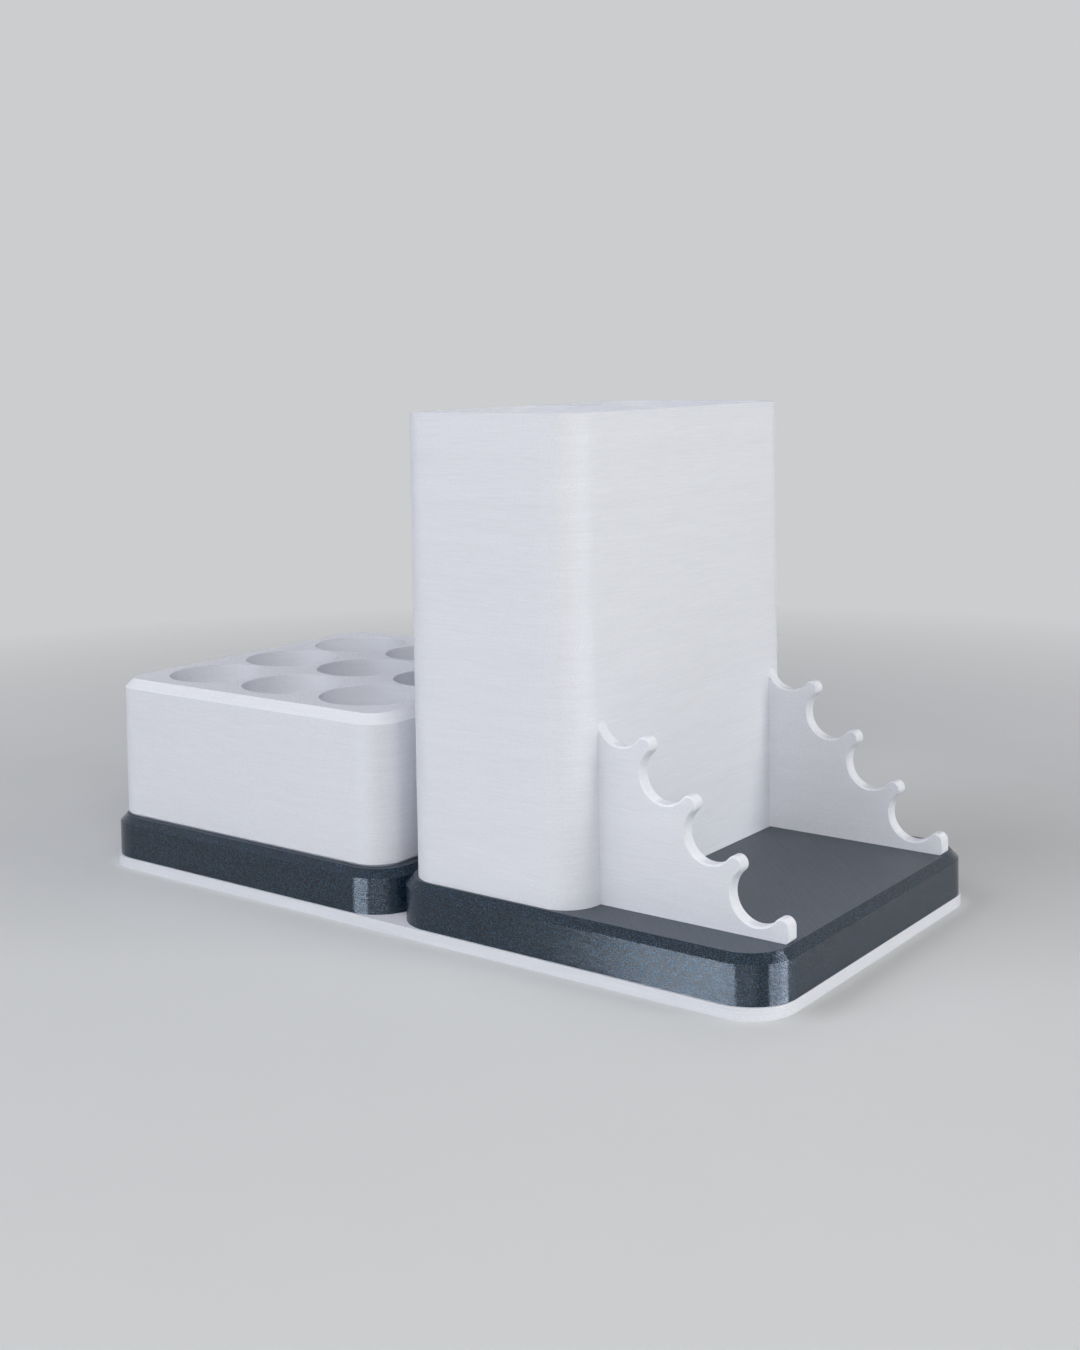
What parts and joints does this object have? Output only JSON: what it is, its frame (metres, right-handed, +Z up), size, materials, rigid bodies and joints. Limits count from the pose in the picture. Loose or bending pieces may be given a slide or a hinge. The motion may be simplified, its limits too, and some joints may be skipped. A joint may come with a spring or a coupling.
{
  "type": "hobby desk organizer",
  "caption": "Desk organizer on a thin plate: a square block with round bottle pockets, and a tall open two-compartment tool tower with a pair of notched brush rests, each on a chamfered base.",
  "frame": {"origin": "centre of the base plate's underside", "axes": "+X along the plate towards the brush rests, +Y to the back, +Z up"},
  "size_m": [0.2, 0.1, 0.119],
  "materials": {
    "white_print": "matte 3D print with fine horizontal layer lines",
    "dark_print": "satin dark grey 3D print",
    "magnet": "nickel-plated disc"
  },
  "bodies": {
    "base": {"base_plate": "white_print", "plate_magnet_left_1": "magnet", "plate_magnet_left_2": "magnet", "plate_magnet_left_3": "magnet", "plate_magnet_left_4": "magnet", "plate_magnet_right_1": "magnet", "plate_magnet_right_2": "magnet", "plate_magnet_right_3": "magnet", "plate_magnet_right_4": "magnet"},
    "bottle_module": {"bottle_base": "dark_print", "bottle_block": "white_print", "bottle_base_magnet_1": "magnet", "bottle_base_magnet_2": "magnet", "bottle_base_magnet_3": "magnet", "bottle_base_magnet_4": "magnet"},
    "tower_module": {"tower_base": "dark_print", "tool_tower": "white_print", "brush_rest_front": "white_print", "brush_rest_back": "white_print", "tower_base_magnet_1": "magnet", "tower_base_magnet_2": "magnet", "tower_base_magnet_3": "magnet", "tower_base_magnet_4": "magnet"}
  },
  "joints": [
    {"name": "bottle_module_lift", "type": "slide", "parent": "base", "child": "bottle_module", "axis": [0, 0, 1], "range_m": [0, 0.125]},
    {"name": "tower_module_lift", "type": "slide", "parent": "base", "child": "tower_module", "axis": [0, 0, 1], "range_m": [0, 0.06]}
  ]
}
